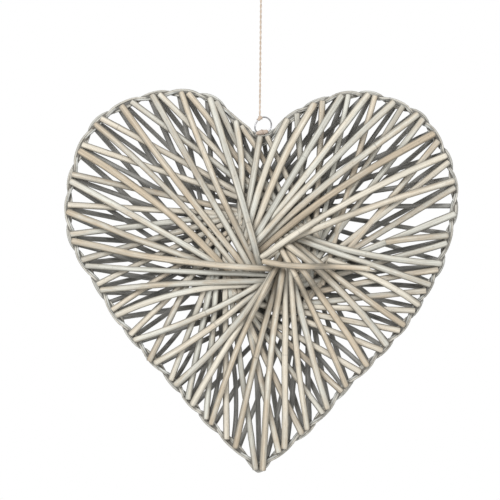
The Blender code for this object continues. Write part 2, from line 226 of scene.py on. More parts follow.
# Places where the real outline strays from the even one: middle, reach and shift, each across and up
STRAYS = (((-0.0225, -0.1400), (0.011, 0.030), (0.0000, -0.0085)),
          ((0.1620, -0.1330), (0.017, 0.017), (0.0035, 0.0050)),
          ((0.1830, -0.2860), (0.025, 0.016), (0.0050, -0.0010)),
          ((-0.1720, -0.3000), (0.020, 0.030), (0.0040, 0.0010)),
          ((0.0560, -0.4460), (0.028, 0.028), (0.0028, -0.0025)))

# The strands' sag at the notch, where its middle is, its reach, and the level above which it is
NOTCH_SAG = 0.0054
NOTCH_SAG_MIDDLE = WEAVE_SHIFT / 3
NOTCH_SAG_REACH = 0.009
NOTCH_SAG_FLOOR = -0.17

# The bark wrap at the notch: where it lies, and its thickness as shares of the solid's, at its ends and
# what its middle adds
WRAP_SHIFT = (-0.0018, -0.0022, -0.0047)
WRAP_ENDS = 0.52
WRAP_SWELL = 0.48
WRAP_INSET = 0.0002
WRAP_STATIONS = 41

# The loose strip wound over the wrap
LOOSE_TURNS = 2.5
LOOSE_START = 0.6
LOOSE_WIDTH = 0.96
LOOSE_INSET = 0.0003
LOOSE_RADIUS = 0.0006
LOOSE_STATIONS = 90

# The steel ring, turned nearly square to the view
RING_RADIUS = 0.0082
RING_TURN = math.radians(5)
RING_SHIFT = (-0.0008, 0.0, 0.0)
RING_STATIONS = 96

# The twine's plies, the length in which they turn once, and their distance from the middle and radius
PLIES = 2
TWINE_LAY = 0.0105
TWINE_PLY = (0.00048, 0.00052)
HITCH_PLY = (0.00036, 0.00044)
KNOT_PLY = (0.0004, 0.0005)

# A way that no part of the twine runs along, from which the plies' turn is measured
OFF_ROUTE = (0.05, 1.0, 0.02)

# How far to the left of the ring's middle the twine is tied, and the stations of its loop
TWINE_SHIFT = 0.0034
LOOP_STATIONS = 60

# The hitch: its length on the ring, its turns, and its distance from the wire
HITCH_LENGTH = 0.0046
HITCH_TURNS = 4
HITCH_STEPS = 90
HITCH_GAP = 0.0005

# The knot above the hitch: its rise, the tilt and size of each turn, and how the turns lean back
KNOT_RISE = 0.0006
KNOT_TURNS = ((0.5, 0.0011), (-0.7, 0.00105), (1.3, 0.0010))
KNOT_STEPS = 24
KNOT_LEAN = 0.15

# Willow finishes: pale, cream, tan, stained and shaded colour, and how far outwards the wash starts and ends.
# The side facing outwards is pale partly from a real wash and partly as painted light. The shaded colour,
# mixed with the stained one, is painted shade on the flanks that face away, and it also darkens pores and bud
# scars.
WILLOWS = {
    "Front willow": ((0.69, 0.685, 0.62), (0.68, 0.635, 0.54), (0.53, 0.44, 0.325),
                     (0.29, 0.265, 0.215), (0.13, 0.12, 0.10), 0.18, 0.92),
    "Under willow": ((0.67, 0.665, 0.60), (0.66, 0.61, 0.515), (0.52, 0.43, 0.32),
                     (0.28, 0.255, 0.21), (0.125, 0.115, 0.097), 0.18, 0.92),
    "Back willow": ((0.66, 0.66, 0.63), (0.61, 0.595, 0.54), (0.52, 0.47, 0.40),
                    (0.37, 0.36, 0.335), (0.195, 0.195, 0.185), -0.9, 0.9),
    "Split willow": ((0.64, 0.65, 0.615), (0.60, 0.58, 0.52), (0.46, 0.41, 0.34),
                     (0.23, 0.22, 0.195), (0.075, 0.073, 0.066), 0.15, 0.9),
    "Core willow": ((0.20, 0.195, 0.18), (0.20, 0.185, 0.155), (0.18, 0.15, 0.115),
                    (0.10, 0.09, 0.08), (0.06, 0.055, 0.05), -0.2, 0.6),
    "Bark wrap": ((0.66, 0.58, 0.52), (0.65, 0.56, 0.49), (0.52, 0.41, 0.33),
                  (0.32, 0.25, 0.20), (0.14, 0.105, 0.085), 0.0, 0.6)}

# Floor, lamps (place, width and power) and camera
FLOOR_HALF = 3.0
FLOOR_LEVEL = -1.15
FLOOR_COLOUR = (0.86, 0.86, 0.85)
AMBIENT = 0.46
LAMPS = {"Key": ((-0.9, -2.2, 0.9), 1.3, 50.0), "Fill": ((1.6, -2.0, -0.2), 1.6, 14.0)}
LAMP_AIM = (0, 0, -0.28)
VIEW_WIDTH = 0.5
VIEW_MIDDLE = (-0.011, -0.270)
CAMERA_DISTANCE = 3.0
SENSOR_WIDTH = 36.0


class Value:
    """A node's output that can be used in arithmetic."""

    def __init__(self, finish, socket):
        self.finish = finish
        self.socket = socket

    def maths(self, operation, *values):
        return self.finish.node("ShaderNodeMath", {"operation": operation}, dict(enumerate(values)))

    def __add__(self, other):
        return self.maths("ADD", self, other)

    def __radd__(self, other):
        return self.maths("ADD", other, self)

    def __sub__(self, other):
        return self.maths("SUBTRACT", self, other)

    def __rsub__(self, other):
        return self.maths("SUBTRACT", other, self)

    def __mul__(self, other):
        return self.maths("MULTIPLY", self, other)

    def __rmul__(self, other):
        return self.maths("MULTIPLY", other, self)


class Finish:
    """A material in the making. Its node method makes every node."""

    def __init__(self, name):
        self.material = bpy.data.materials.new(name)
        self.material.use_nodes = True
        self.tree = self.material.node_tree
        self.shader = self.tree.nodes["Principled BSDF"]

    def node(self, kind, settings=None, values=None, output=0):
        made = self.tree.nodes.new(kind)
        for name, setting in (settings or {}).items():
            setattr(made, name, setting)
        for name, value in (values or {}).items():
            self.feed(made.inputs[name], value)
        return Value(self, made.outputs[output])

    def feed(self, socket, value):
        if isinstance(value, Value):
            self.tree.links.new(value.socket, socket)
        elif hasattr(value, "__len__") and len(value) == 3 and len(socket.default_value) == 4:
            socket.default_value = (*value, 1)
        else:
            socket.default_value = value

    def attribute(self, name, output="Fac"):
        return self.node("ShaderNodeAttribute", {"attribute_name": name}, output=output)

    def noise(self, place, cells, detail=3.0, roughness=0.5):
        """Noise with so many cells to a metre along each axis; a grain's third axis runs along the rod."""
        stretched = self.node("ShaderNodeMapping", None, {"Vector": place, "Scale": cells})
        sizes = {"Vector": stretched, "Scale": 1.0, "Detail": detail, "Roughness": roughness}
        return self.node("ShaderNodeTexNoise", None, sizes)

    def between(self, value, low, high):
        limits = {"Value": value, "From Min": low, "From Max": high}
        return self.node("ShaderNodeMapRange", {"interpolation_type": "SMOOTHSTEP"}, limits)

    def mix(self, share, first, second, blend="MIX"):
        settings = {"data_type": "RGBA", "blend_type": blend}
        return self.node("ShaderNodeMix", settings, {0: share, 6: first, 7: second}, output=2)

    def surface(self, colour, roughness, height=None, depth=0.0, metallic=0.0):
        self.feed(self.shader.inputs["Base Color"], colour)
        self.feed(self.shader.inputs["Roughness"], roughness)
        self.feed(self.shader.inputs["Metallic"], metallic)
        if height is not None:
            bump = self.node("ShaderNodeBump", None, {"Height": height, "Distance": depth, "Strength": 1.0})
            self.feed(self.shader.inputs["Normal"], bump)
        return self.material


def willow_with_wash_and_painted_shade(name):
    """Willow with a pale wash on its outer side, which is partly painted light, painted shade mixed with
    stain on the flanks that face away, streaks, pores and dark bud scars.
    """
    pale, cream, tan, stain_and_flank_shade, flank_shade_and_scars, wash_and_lit_low, wash_and_lit_high = WILLOWS[name]
    finish = Finish(name)
    grain = finish.attribute("grain", "Vector")
    tone = finish.attribute("tone")
    tan_share = finish.attribute("tan")
    outward = finish.attribute("outward")
    bud = finish.attribute("bud")
    streaks = finish.noise(grain, (1500, 1500, 45), 4.0, 0.6)
    fine = finish.noise(grain, (3800, 3800, 160), 3.0, 0.6)
    patches = finish.noise(grain, (180, 180, 28), 3.0, 0.55)
    blotches = finish.noise(grain, (420, 420, 150), 3.0, 0.6)
    pores = finish.noise(grain, (1300, 1300, 620), 2.0, 0.5)
    colour = finish.mix(finish.between(patches + (tone - 0.5) * 0.5, 0.35, 0.65), pale, cream)
    warm = finish.between(patches * 0.6 + blotches * 0.4 + tan_share * 0.55, 0.52, 0.95)
    colour = finish.mix(warm, colour, tan)
    worn = finish.between(streaks * 0.6 + fine * 0.4, 0.40, 0.60)
    colour = finish.mix(0.28 - worn * 0.28, colour, stain_and_flank_shade)
    # Painted light and shade: corners facing the given way get the pale colour, partly as a wash and partly
    # as painted light, and the flanks facing away get stain mixed with the shaded colour as painted shade.
    spread = outward + (streaks - 0.5) * 0.55 + (blotches - 0.5) * 0.5
    wash_and_lit_side = finish.between(spread, wash_and_lit_low, wash_and_lit_high)
    painted_flank_shade = finish.mix(finish.between(fine + streaks, 0.75, 1.25), flank_shade_and_scars, stain_and_flank_shade)
    colour = finish.mix(wash_and_lit_side, painted_flank_shade, colour)
    specks = finish.between(pores, 0.66, 0.73) * finish.between(blotches, 0.42, 0.6)
    colour = finish.mix(specks * 0.75, colour, flank_shade_and_scars)
    colour = finish.mix(finish.between(bud, 0.60, 1.0) * 0.45, colour, flank_shade_and_scars)
    bands = finish.between(finish.noise(grain, (560, 560, 9), 2.0, 0.5), 0.32, 0.68)
    brightness = tone * 0.20 + 0.72 + bands * 0.30
    bright = finish.node("ShaderNodeCombineXYZ", None, {0: brightness, 1: brightness, 2: brightness})
    colour = finish.mix(1.0, colour, bright, "MULTIPLY")
    height = streaks * 0.5 + fine * 0.3 - specks * 0.6
    return finish.surface(colour, 0.62 + streaks * 0.25, height, 0.00022)


def twisted_jute():
    brown, pale, dark = (0.56, 0.45, 0.36), (0.70, 0.59, 0.49), (0.31, 0.225, 0.16)
    finish = Finish("Jute")
    grain = finish.attribute("grain", "Vector")
    fibres = finish.noise(grain, (5200, 5200, 420), 3.0, 0.6)
    patches = finish.noise(grain, (500, 500, 110), 2.0)
    colour = finish.mix(finish.between(patches, 0.35, 0.65), brown, pale)
    colour = finish.mix(finish.between(fibres, 0.30, 0.6) * 0.5 + 0.5, dark, colour)
    return finish.surface(colour, 0.9, fibres, 0.0002)


def drawn_steel():
    clean, tarnished = (0.46, 0.46, 0.48), (0.27, 0.26, 0.26)
    finish = Finish("Ring steel")
    place = finish.node("ShaderNodeTexCoord", output="Object")
    scratches = finish.noise(place, (900, 900, 2600), 3.0)
    dull = finish.noise(place, (350, 350, 350), 2.0)
    colour = finish.mix(finish.between(dull, 0.4, 0.7), clean, tarnished)
    return finish.surface(colour, 0.24 + scratches * 0.2, scratches, 0.00004, metallic=1.0)


def pale_paint():
    return Finish("Pale floor").surface(FLOOR_COLOUR, 0.9)


def merged(node):
    """A node's corners without doubles, and the pairs that share an edge."""
    mesh = NODES[node].data
    corners = np.array([v.co for v in mesh.vertices])
    keys = np.round(corners / SAME_PLACE).astype(np.int64)
    _, first, same = np.unique(keys, axis=0, return_index=True, return_inverse=True)
    same = same.reshape(-1)
    edges = np.array([edge.vertices for edge in mesh.edges])
    return corners[first], same[edges]


def centreline(node, closed=False, section=ROD_SECTION):
    """The middle line of a tubular node, and its radius at each station."""
    corners, edges = merged(node)
    group = list(range(len(corners)))

    def root(i):
        while group[i] != i:
            group[i] = group[group[i]]
            i = group[i]
        return i

    spans = np.linalg.norm(corners[edges[:, 0]] - corners[edges[:, 1]], axis=1)
    for (a, b), span in zip(edges, spans):
        if span < section:
            group[root(int(a))] = root(int(b))
    rings = {}
    for i in range(len(corners)):
        rings.setdefault(root(i), []).append(i)
    index = {name: i for i, name in enumerate(rings)}
    middles = np.array([corners[members].mean(0) for members in rings.values()])
    radii = np.array([np.linalg.norm(corners[members] - corners[members].mean(0), axis=1).max()
                      for members in rings.values()])
    beside = [set() for _ in rings]
    for a, b in edges:
        i = index[root(int(a))]
        j = index[root(int(b))]
        if i != j:
            beside[i].add(j)
            beside[j].add(i)
    start = 0 if closed else min(range(len(beside)), key=lambda i: len(beside[i]))
    order = [start]
    while True:
        onward = [j for j in beside[order[-1]] if j not in order]
        if not onward:
            break
        order.append(min(onward, key=lambda j: np.linalg.norm(middles[j] - middles[order[-1]])))
    return middles[order], radii[order]


def unit(vector):
    return vector / np.linalg.norm(vector)


def each_unit(vectors):
    return vectors / np.linalg.norm(vectors, axis=1)[:, None]


def length_along(points):
    """How far along the line each of its points is."""
    return np.concatenate([[0], np.cumsum(np.linalg.norm(np.diff(points, axis=0), axis=1))])


def smooth_line(points, step, closed=False):
    """Evenly spaced places on a smooth curve through the points."""
    points = np.asarray(points, dtype=float)
    if closed:
        points = np.vstack([points[-2:], points, points[:3]])
    spans = np.linalg.norm(np.diff(points, axis=0), axis=1)
    slopes = np.diff(points, axis=0) / spans[:, None]
    tangents = np.empty_like(points)
    tangents[0] = slopes[0]
    tangents[-1] = slopes[-1]
    share = (spans[:-1] / (spans[:-1] + spans[1:]))[:, None]
    tangents[1:-1] = slopes[:-1] * (1 - share) + slopes[1:] * share
    legs = range(2, len(points) - 3) if closed else range(len(points) - 1)
    dense = []
    for i in legs:
        u = np.linspace(0, 1, max(4, int(spans[i] / (step / 3))), endpoint=False)[:, None]
        dense.append((2 * u**3 - 3 * u**2 + 1) * points[i] + (u**3 - 2 * u**2 + u) * spans[i] * tangents[i]
                     + (3 * u**2 - 2 * u**3) * points[i + 1] + (u**3 - u**2) * spans[i] * tangents[i + 1])
    dense = np.concatenate(dense + [points[[len(points) - 3 if closed else -1]]])
    at = length_along(dense)
    even = np.linspace(0, at[-1], max(3, int(round(at[-1] / step))) + 1)
    line = np.stack([np.interp(even, at, dense[:, axis]) for axis in range(3)], axis=1)
    return line[:-1] if closed else line


def plan_of(place):
    """A place as seen from the front, across and up from the middle of the weave."""
    return np.array((place[0] - WEAVE_SHIFT, place[2] + WEAVE_DROP))


def in_space(plan, depth):
    return np.array((WEAVE_SHIFT + plan[0], depth, -WEAVE_DROP + plan[1]))


def outer_end(line):
    ends = (line[0], line[-1])
    return max(ends, key=lambda place: np.linalg.norm(plan_of(place)))


def hoop_by_binding_point():
    """The hoop's middle line, started at the first binding point and run counter-clockwise."""
    line, _ = centreline("hoop", closed=True)
    first_end, later_end = (outer_end(centreline(f"front_rod_{k:02d}")[0]) for k in (1, 4))
    start = int(np.argmin(np.linalg.norm(line - first_end, axis=1)))
    line = np.roll(line, -start, axis=0)
    later = int(np.argmin(np.linalg.norm(line - later_end, axis=1)))
    if later > len(line) / 2:
        line = np.roll(line[::-1], 1, axis=0)
    usual = np.median(np.linalg.norm(np.diff(line, axis=0), axis=1))
    whole = []
    for place, following in zip(line, np.roll(line, -1, axis=0)):
        whole.append(place)
        if np.linalg.norm(following - place) > usual * HOOP_GAP:
            whole.append((place + following) / 2)
    return np.array(whole)


def rim_point(t):
    """The hoop's place in plan at binding point t, which need not be whole."""
    at = (t * HOOP_LEGS_PER_BAY) % len(HOOP)
    i = int(at)
    low = plan_of(HOOP[i])
    high = plan_of(HOOP[(i + 1) % len(HOOP)])
    return low + (high - low) * (at - i)


def rod_end(t, side, diameter):
    """Where a rod's end lies in plan, beside binding point t and just past the hoop's middle line."""
    along_rim = unit(rim_point(t + 1) - rim_point(t - 1))
    place = rim_point(t) + along_rim * side * (diameter + ROD_GAP) / 2
    return place + unit(rim_point(t)) * END_OVERHANG


def inward(end, miss):
    """The way in from a rod's outer end, and how far it is to the place nearest to the middle.

    The line passes the middle at the given distance, with the middle on its left, or on its right
    where the distance is negative.
    """
    distance = np.linalg.norm(end)
    turn = math.asin(miss / distance)
    ahead = -end / distance
    way = np.array((ahead[0] * math.cos(turn) + ahead[1] * math.sin(turn),
                    ahead[1] * math.cos(turn) - ahead[0] * math.sin(turn)))
    return way, distance * math.cos(turn)


def miss_of(start, place):
    """How far a line from a start through a place passes from the middle, with the middle on its left."""
    way = unit(place - start)
    return way[1] * start[0] - way[0] * start[1]


def rod_tree():
    """Geometry nodes that turn lines with a thickness into rods with an uneven skin."""
    tree = bpy.data.node_groups.new("Rods along lines", "GeometryNodeTree")
    for name, kind in (("Geometry", "Geometry"), ("Sides", "Int"), ("Sway", "Float"),
                       ("Sway Length", "Float"), ("Ridge Height", "Float"), ("Outward", "Vector"),
                       ("Finish", "Material")):
        tree.interface.new_socket(name, in_out="INPUT", socket_type=f"NodeSocket{kind}")
    tree.interface.new_socket("Geometry", in_out="OUTPUT", socket_type="NodeSocketGeometry")
    given = tree.nodes.new("NodeGroupInput").outputs
    result = tree.nodes.new("NodeGroupOutput").inputs

    def add(kind, links=None, **settings):
        made = tree.nodes.new(kind)
        for name, setting in settings.items():
            setattr(made, name, setting)
        for name, value in (links or {}).items():
            if isinstance(value, bpy.types.NodeSocket):
                tree.links.new(value, made.inputs[name])
            else:
                made.inputs[name].default_value = value
        return made.outputs

    def named(name, kind="FLOAT"):
        return add("GeometryNodeInputNamedAttribute", {"Name": name}, data_type=kind)["Attribute"]

    def stored(geometry, name, value, kind):
        return add("GeometryNodeStoreNamedAttribute", {"Geometry": geometry, "Name": name, "Value": value},
                   data_type=kind, domain="POINT")["Geometry"]

    def maths(operation, *values):
        return add("ShaderNodeMath", dict(enumerate(values)), operation=operation)[0]

    def vectors(operation, *values):
        return add("ShaderNodeVectorMath", dict(enumerate(values)), operation=operation)

    def scaled(vector, share):
        return add("ShaderNodeVectorMath", {0: vector, "Scale": share}, operation="SCALE")[0]

    def facing():
        return add("GeometryNodeInputNormal")["Normal"]

    def moved(geometry, offset):
        return add("GeometryNodeSetPosition", {"Geometry": geometry, "Offset": offset})["Geometry"]

    # Lines that know their length, swayed by slow noise
    lines = add("GeometryNodeMeshToCurve", {"Mesh": given["Geometry"]})["Curve"]
    lines = stored(lines, "along", add("GeometryNodeSplineParameter")["Length"], "FLOAT")
    slow = {"Vector": add("GeometryNodeInputPosition")["Position"], "W": named("seed"),
            "Scale": maths("DIVIDE", 1.0, given["Sway Length"]), "Detail": 1.0}
    bend = add("ShaderNodeTexNoise", slow, noise_dimensions="4D")["Color"]
    centred = vectors("SUBTRACT", bend, (0.5, 0.5, 0.5))[0]
    lines = moved(lines, scaled(centred, maths("MULTIPLY", given["Sway"], named("freedom"))))

    # A tube round each line, whose corners know their place in the cross-section
    circle = add("GeometryNodeCurvePrimitiveCircle", {"Resolution": given["Sides"], "Radius": 1.0})["Curve"]
    circle = stored(circle, "section", add("GeometryNodeInputPosition")["Position"], "FLOAT_VECTOR")
    tube = {"Curve": lines, "Profile Curve": circle, "Scale": named("thickness"), "Fill Caps": True}
    skin = add("GeometryNodeCurveToMesh", tube)["Mesh"]

    # Grain: the place in the cross-section, and the length along the rod from where its pattern starts
    section = scaled(named("section", "FLOAT_VECTOR"), named("thickness"))
    run = maths("MULTIPLY_ADD", named("seed"), PATTERN_STEP, named("along"))
    grain = vectors("ADD", section, add("ShaderNodeCombineXYZ", {"Z": run})[0])[0]
    skin = stored(skin, "grain", grain, "FLOAT_VECTOR")
    # How far each corner faces the given way. The willow finishes paint the side facing it pale, partly as
    # painted light, and the flanks facing away dark, as painted shade.
    skin = stored(skin, "outward", vectors("DOT_PRODUCT", facing(), given["Outward"])["Value"], "FLOAT")

    # Ridges along the grain
    stretched = vectors("MULTIPLY", named("grain", "FLOAT_VECTOR"), RIDGE_CELLS)[0]
    ridges = add("ShaderNodeTexNoise", {"Vector": stretched, "Scale": 1.0, "Detail": 2.0})[0]
    raised = maths("MULTIPLY", maths("SUBTRACT", ridges, 0.5), given["Ridge Height"])
    skin = moved(skin, scaled(facing(), raised))
    skin = add("GeometryNodeSetShadeSmooth", {"Geometry": skin, "Shade Smooth": True})["Geometry"]
    skin = add("GeometryNodeRealizeInstances", {"Geometry": skin})["Geometry"]
    skin = add("GeometryNodeSetMaterial", {"Geometry": skin, "Material": given["Finish"]})["Geometry"]
    tree.links.new(skin, result["Geometry"])
    return tree


class Line:
    """A line that becomes a rod, with its pattern, colour, and thickness and bud scars at each point."""

    def __init__(self, points, radius, seed, tone=0.5, tan=0.2, closed=False, swaying=False):
        count = len(points)
        self.points = np.asarray(points, dtype=float)
        self.radius = np.full(count, radius) if np.isscalar(radius) else np.asarray(radius, dtype=float)
        self.seed = seed
        self.tone = tone
        self.tan = tan
        self.closed = closed
        self.bud = np.zeros(count)
        self.freedom = np.sin(np.linspace(0, 1, count) * math.pi) ** 0.5 if swaying else np.ones(count)


def strayed(places):
    """Places eased to where the real outline strays, with nothing moved elsewhere."""
    shift = np.zeros_like(places)
    for (x, z), (wide, tall), (across, up) in STRAYS:
        share = np.exp(-(((places[:, 0] - x) / wide)**2 + ((places[:, 2] - z) / tall)**2) / 2)
        shift[:, 0] += across * share
        shift[:, 2] += up * share
    return places + shift


def rods_object(name, lines, material, replaced=(), sides=14, sway=0.0, ridge=RIDGE, outward=FRONT):
    """One piece made of all the lines, as a plain mesh in place."""
    columns = {"thickness": [], "tone": [], "tan": [], "seed": [], "bud": [], "freedom": []}
    places = []
    edges = []
    for line in lines:
        first = len(places)
        count = len(line.points)
        places.extend(strayed(line.points).tolist())
        edges.extend((first + i, first + i + 1) for i in range(count - 1))
        if line.closed:
            edges.append((first + count - 1, first))
        columns["thickness"].extend(line.radius)
        columns["bud"].extend(line.bud)
        columns["freedom"].extend(line.freedom)
        for key, value in (("tone", line.tone), ("tan", line.tan), ("seed", line.seed)):
            columns[key].extend([value] * count)
    mesh = bpy.data.meshes.new(name)
    mesh.from_pydata(places, edges, [])
    for key, values in columns.items():
        attribute = mesh.attributes.new(key, "FLOAT", "POINT")
        attribute.data.foreach_set("value", np.array(values, dtype=np.float32))
    piece = bpy.data.objects.new(name, mesh)
    bpy.context.scene.collection.objects.link(piece)
    modifier = piece.modifiers.new("rods", "NODES")
    modifier.node_group = ROD_TREE
    sizes = {"Sides": sides, "Sway": sway, "Sway Length": SWAY_LENGTH, "Ridge Height": ridge,
             "Outward": outward, "Finish": material}
    for item in ROD_TREE.interface.items_tree:
        if item.in_out == "INPUT" and item.name in sizes:
            modifier[item.identifier] = sizes[item.name]
    bpy.context.view_layer.update()
    evaluated = piece.evaluated_get(bpy.context.evaluated_depsgraph_get())
    finished = bpy.data.meshes.new_from_object(evaluated)
    piece.modifiers.clear()
    piece.data = finished
    finished.name = name
    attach(piece, "root")
    if replaced:
        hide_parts(*replaced)
    return piece


def with_buds(line, seeded):
    """Bud scars along a rod: a short swelling with a dark edge."""
    along = length_along(line.points)
    at = seeded.uniform(BUD_START, BUD_SPACING[1])
    while at < along[-1] - BUD_END:
        shape = np.exp(-((along - at) / BUD_LENGTH) ** 2)
        line.radius = line.radius * (1 + BUD_SWELL * shape)
        line.bud = np.maximum(line.bud, shape * seeded.uniform(0.5, 1.0))
        at += seeded.uniform(*BUD_SPACING)
    return line


def uneven(line, seeded, amount=ROD_UNEVENNESS, taper=0.0):
    """A rod's own changes of thickness, its taper and, unless it is closed, its narrower cut ends."""
    along = length_along(line.points)
    waves = 0
    for k in range(WAVES):
        turned = along * seeded.uniform(*WAVE_TURNS) * (k + 1) + seeded.uniform(*WAVE_STARTS)
        waves = waves + WAVE_FADE**k * np.sin(turned)
    line.radius = line.radius * (1 + amount * waves / 2) * (1 - taper * along / along[-1])
    if not line.closed:
        line.radius[0] *= CUT_WIDTH
        line.radius[-1] *= CUT_WIDTH
    return line


def bevelled(points):
    """The same line with a further point close to each end, for the bevel of the cut."""
    first = points[0] + unit(points[1] - points[0]) * CUT_BEVEL
    last = points[-1] + unit(points[-2] - points[-1]) * CUT_BEVEL
    return np.vstack([points[:1], first[None], points[1:-1], last[None], points[-1:]])


def hidden_run(stations, node):
    """The rest of a front rod past its dive: on in plan, to the left for some, and down to the under rods."""
    heading = stations[-1] - stations[-2]
    heading = unit(np.array((heading[0], 0, heading[2])))
    left = np.array((-heading[2], 0, heading[0]))
    drop = max(0.0, HIDDEN_DEPTH - stations[-1][1])
    aside = HIDDEN_ASIDE.get(node, 0.0)
    falls = STEEP_FALLS if node in STEEP_RODS else HIDDEN_FALLS
    run = []
    for u, fallen in falls:
        fall = np.array((0, drop * fallen, 0))
        run.append(stations[-1] + heading * HIDDEN_RUN * u + left * aside * u + fall)
    return run


def make_front_rods(material):
    """The rods of the front fans, one from each binding point, each over its neighbours and then under."""
    seeded = random.Random(DRAWS["front"])
    lines = []
    names = [f"front_rod_{k:02d}" for k in range(1, BINDING_POINTS + 1)]
    for node, name in enumerate(names):
        stations, radii = centreline(name)
        if np.linalg.norm(plan_of(stations[0])) < np.linalg.norm(plan_of(stations[-1])):
            stations = stations[::-1]
        if node in LOW_RODS:
            stations = np.array(LOW_RODS[node])
        elif node not in CUT_SHORT:
            stations = np.vstack([stations, hidden_run(stations, node)])
        points = bevelled(smooth_line(stations, FRONT_STEP))
        radius = ROD_RADII.get(node, np.median(radii) * seeded.uniform(*FRONT_THICKNESS))
        tone = seeded.random()
        tan = TAN_RODS.get(node, seeded.uniform(0, FRONT_TAN))
        line = Line(points, radius, node + PATTERNS["front"], tone, tan, swaying=True)
        lines.append(with_buds(uneven(line, seeded, taper=TAPERS["front"]), seeded))
    rods_object("front_rods", lines, material, names, sway=FRONT_SWAY)


def make_last_rod(material):
    """The rod on top of all, with splinters out of its cut end."""
    seeded = random.Random(DRAWS["last"])
    stations, radii = centreline("last_rod")
    if stations[0][0] > stations[-1][0]:
        stations = stations[::-1]
    points = bevelled(smooth_line(stations, FRONT_STEP))
    line = Line(points, np.median(radii), PATTERNS["last"], tone=0.6, tan=0.55)
    lines = [with_buds(uneven(line, seeded, taper=TAPERS["last"]), seeded)]
    end = points[-1]
    ahead = unit(points[-1] - points[-5])
    for _ in range(SPLINTERS):
        aside = np.array((0, *(seeded.uniform(-most, most) for most in SPLINTER_ASIDE)))
        foot = end - ahead * SPLINTER_FOOT + aside * SPLINTER_FOOT_ASIDE
        tip = end + ahead * seeded.uniform(*SPLINTER_REACH) + aside * seeded.uniform(*SPLINTER_SPREAD)
        bow = np.array((0, *(seeded.uniform(*limits) for limits in SPLINTER_BOWS)))
        splinter = smooth_line([foot, (foot + tip) / 2 + bow, tip], SPLINTER_STEP)
        thin = np.linspace(*SPLINTER_RADII, len(splinter))
        lines.append(Line(splinter, thin, seeded.uniform(*SPLINTER_PATTERNS), tone=1.0, tan=0.0))
    rods_object("last_rod_frayed", lines, material, ["last_rod"])


def make_under_rods(material):
    """The second rod of each binding point, under the front fans, on to the eye and a little round it."""
    seeded = random.Random(DRAWS["under"])
    low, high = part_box("front_under_rods")
    level = (low.y + high.y) / 2
    lines = []
    for node in range(BINDING_POINTS):
        if node == NO_UNDER_ROD:
            continue
        end = rod_end(node - UNDER_SHIFTS.get(node, 0), -1, UNDER_ROD_DIAMETER * UNDER_MEAN_THICKNESS)
        way, run = inward(end, -UNDER_MISSES[node] / 1000)
        if node == LONG_END:
            end = end - way * LONG_END_REACH
        stations = [in_space(end + way * run * u, level - UNDER_LEAN * u**3) for u in UNDER_STATIONS]
        points = bevelled(smooth_line(stations, UNDER_STEP))
        radius = UNDER_ROD_DIAMETER / 2 * seeded.uniform(*UNDER_THICKNESS)
        tone = seeded.random()
        tan = seeded.uniform(0, INNER_TAN)
        line = Line(points, radius, node + PATTERNS["under"], tone, tan, swaying=True)
        lines.append(with_buds(uneven(line, seeded, taper=TAPERS["under"]), seeded))
    rods_object("under_rods", lines, material, ["front_under_rods"], sides=12,
                sway=INNER_SWAY)


def back_route(node):
    """A back rod's line in plan: two straight stretches with one slow bend between them."""
    start = rod_end(node + BACK_SHIFT, 1, BACK_ROD_DIAMETER)
    far = (node + BACK_REACH - BACK_SHORTER.get(node, 0)) % BINDING_POINTS
    finish = rod_end(far, 1, 0)
    miss = np.interp(far, list(BACK_END_MISSES), list(BACK_END_MISSES.values()))
    back, _ = inward(finish, -miss / 1000)
    wanted = BACK_MISSES[node] / 1000
    last = min(LAST_STRETCHES, key=lambda run: abs(miss_of(start, finish + back * run) - wanted))
    bend = finish + back * last
    first = np.linalg.norm(bend - start)
    early = bend + unit(start - bend) * BACK_BEND
    late = bend - back * BACK_BEND
    before_count = int((first - BACK_BEND) / BACK_STEP)
    after_count = max(LEAST_STATIONS, int((last - BACK_BEND) / BACK_STEP))
    before = [start + (early - start) * u for u in np.linspace(0, 1, before_count, endpoint=False)]
    slow = [early * (1 - u)**2 + bend * 2 * u * (1 - u) + late * u * u
            for u in np.linspace(0, 1, BEND_STATIONS)]
    after = [late + (finish - late) * u for u in np.linspace(0, 1, after_count)[1:]]
    return np.array(before + slow + after)


def make_back_rods(material):
    """Long rods across the back, each from one binding point to one sixteen or seventeen further on."""
    seeded = random.Random(DRAWS["back"])
    rim_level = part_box("back_rods_1")[0].y + BACK_ROD_DIAMETER / 2
    lines = []
    for family in range(BACK_FAMILIES):
        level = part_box(f"back_rods_{family + 1}")[1].y - BACK_ROD_DIAMETER / 2
        for node in range((family + LOWEST_FAMILY) % BACK_FAMILIES, BINDING_POINTS, BACK_FAMILIES):
            plan = back_route(node)
            along = length_along(plan)
            near = np.clip(np.minimum(along, along[-1] - along) / BACK_RAMP, 0, 1)
            rise = near**2 * (3 - 2 * near)
            points = bevelled(np.array([in_space(place, rim_level + (level - rim_level) * v)
                                        for place, v in zip(plan, rise)]))
            radius = BACK_ROD_DIAMETER / 2 * seeded.uniform(*BACK_THICKNESS)
            tone = seeded.random()
            tan = seeded.uniform(0, INNER_TAN)
            line = Line(points, radius, node + PATTERNS["back"], tone, tan, swaying=True)
            lines.append(with_buds(uneven(line, seeded, taper=TAPERS["back"]), seeded))
    names = [f"back_rods_{k}" for k in range(1, BACK_FAMILIES + 1)]
    # The back rods' pale side faces the back, so their side seen from the front gets the dark flank colour.
    # This is partly the unwashed inner side and partly painted shade for the shadow of the front fans.
    rods_object("back_rods", lines, material, names, sides=10, sway=INNER_SWAY, outward=BACK)


def notch_sagged(points):
    """Border points let down at the notch, where the ring's wrap draws them together."""
    near = np.exp(-((points[:, 0] - NOTCH_SAG_MIDDLE) / NOTCH_SAG_REACH)**2 / 2)
    lowered = points.copy()
    lowered[:, 2] -= NOTCH_SAG * near * (points[:, 2] > NOTCH_SAG_FLOOR)
    return lowered


